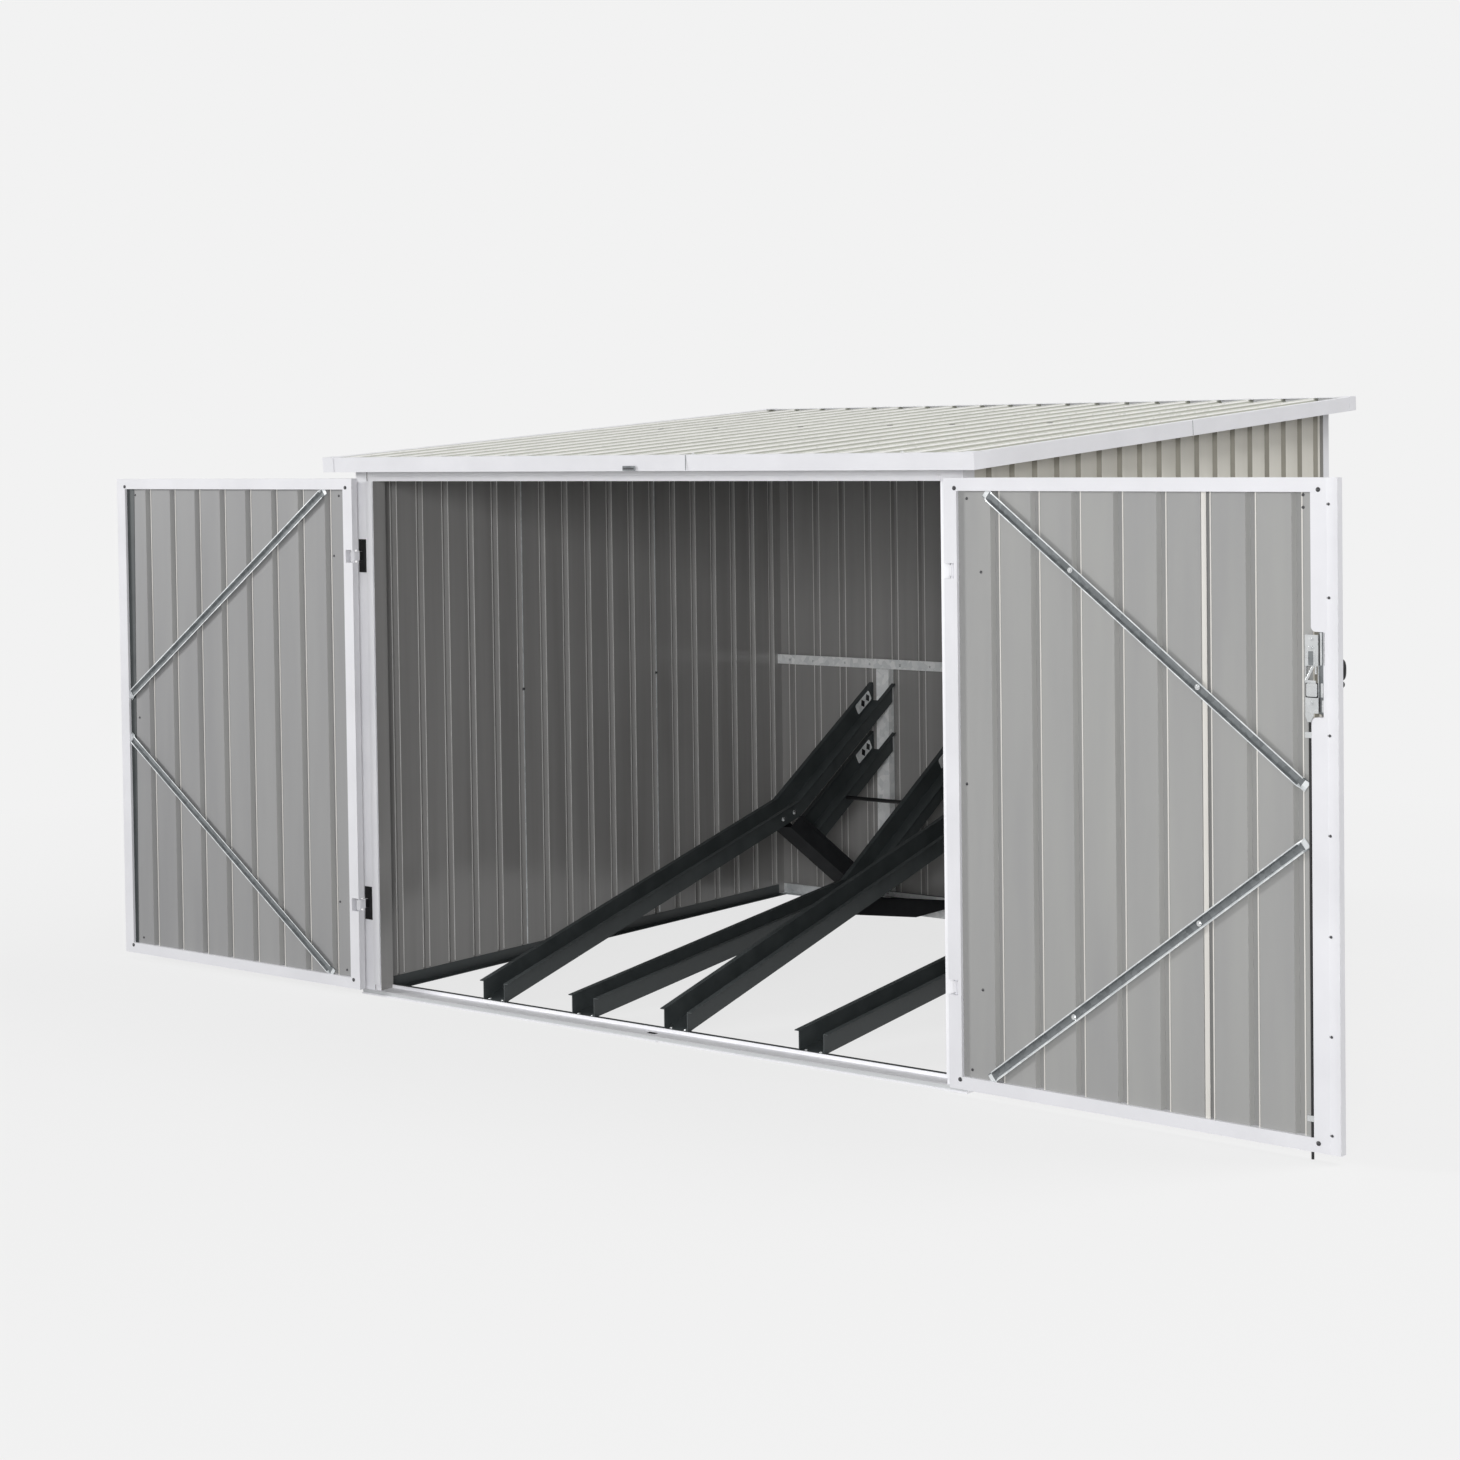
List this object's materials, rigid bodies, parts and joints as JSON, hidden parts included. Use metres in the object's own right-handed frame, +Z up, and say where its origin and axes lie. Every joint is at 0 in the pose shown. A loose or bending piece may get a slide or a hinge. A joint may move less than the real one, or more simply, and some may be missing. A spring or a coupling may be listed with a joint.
{
  "type": "bike shelter",
  "caption": "Ribbed steel bike shelter with a mono-pitch roof, a pair of hinged front doors with a drop-rod lock, and sloped wheel channels inside; open to the ground.",
  "frame": {"origin": "middle of the front sill's underside, on the ground", "axes": "+X along the front towards the right door, +Y through the doorway into the shelter, +Z up; stored with both doors open"},
  "size_m": [3.7636, 2.0025, 1.5663],
  "materials": {
    "white_paint": "smooth satin white coat on folded steel",
    "cream_sheet": "cream coat outside, dark grey coat inside, on ribbed steel",
    "grey_sheet": "light grey back coat on ribbed steel",
    "anthracite_paint": "satin anthracite coat on folded steel",
    "zinc_steel": "bright galvanised steel",
    "black_paint": "black coat"
  },
  "bodies": {
    "shelter": {"front_sill": "zinc_steel", "front_base_rail": "anthracite_paint", "side_base_rails": "anthracite_paint", "rear_base_rail": "zinc_steel", "left_jamb": "white_paint", "right_jamb": "white_paint", "rear_posts": "white_paint", "door_header": "white_paint", "side_top_rails": "zinc_steel", "rear_top_rail": "zinc_steel", "roof_purlin": "zinc_steel", "left_wall": "cream_sheet", "right_wall": "cream_sheet", "rear_wall": "cream_sheet", "rear_girt": "zinc_steel", "roof_front_sheets": "cream_sheet", "roof_rear_sheets": "cream_sheet", "front_fascia": "white_paint", "rear_fascia": "white_paint", "left_fascia": "white_paint", "right_fascia": "white_paint", "roof_corner_caps": "white_paint", "rail_1": "anthracite_paint", "rail_2": "anthracite_paint", "rail_3": "anthracite_paint", "rail_4": "anthracite_paint", "upper_guides": "anthracite_paint", "lower_guides": "anthracite_paint", "rack_legs": "anthracite_paint", "rack_posts": "zinc_steel", "rack_floor_beam": "anthracite_paint", "rack_ties": "black_paint", "hinge_eyes": "black_paint"},
    "left_door": {"left_door_frame": "white_paint", "left_door_sheet": "grey_sheet", "left_door_braces": "zinc_steel"},
    "right_door": {"right_door_frame": "white_paint", "right_door_sheet": "grey_sheet", "right_door_braces": "zinc_steel", "lock_case": "zinc_steel", "rod_guides": "zinc_steel"},
    "handle": {"door_handle": "black_paint"},
    "rod": {"drop_rod": "black_paint"}
  },
  "joints": [
    {"name": "left_door_hinge", "type": "hinge", "parent": "shelter", "child": "left_door", "pos_m": [-0.9425, -0.0455, 0], "axis": [0, 0, 1], "range_deg": [0, 180]},
    {"name": "right_door_hinge", "type": "hinge", "parent": "shelter", "child": "right_door", "pos_m": [0.9425, -0.0455, 0], "axis": [0, 0, -1], "range_deg": [0, 178]},
    {"name": "handle_turn", "type": "hinge", "parent": "right_door", "child": "handle", "pos_m": [1.86962, -0.07257, 0.983], "axis": [0.0349, 0.9994, 0], "range_deg": [0, 90]},
    {"name": "drop_rod_lift", "type": "slide", "parent": "right_door", "child": "rod", "axis": [0, 0, 1], "range_m": [0, 0.032]}
  ],
  "couplings": [
    {"joint": "drop_rod_lift", "follows": "handle_turn", "m_per_rad": 0.02037}
  ]
}
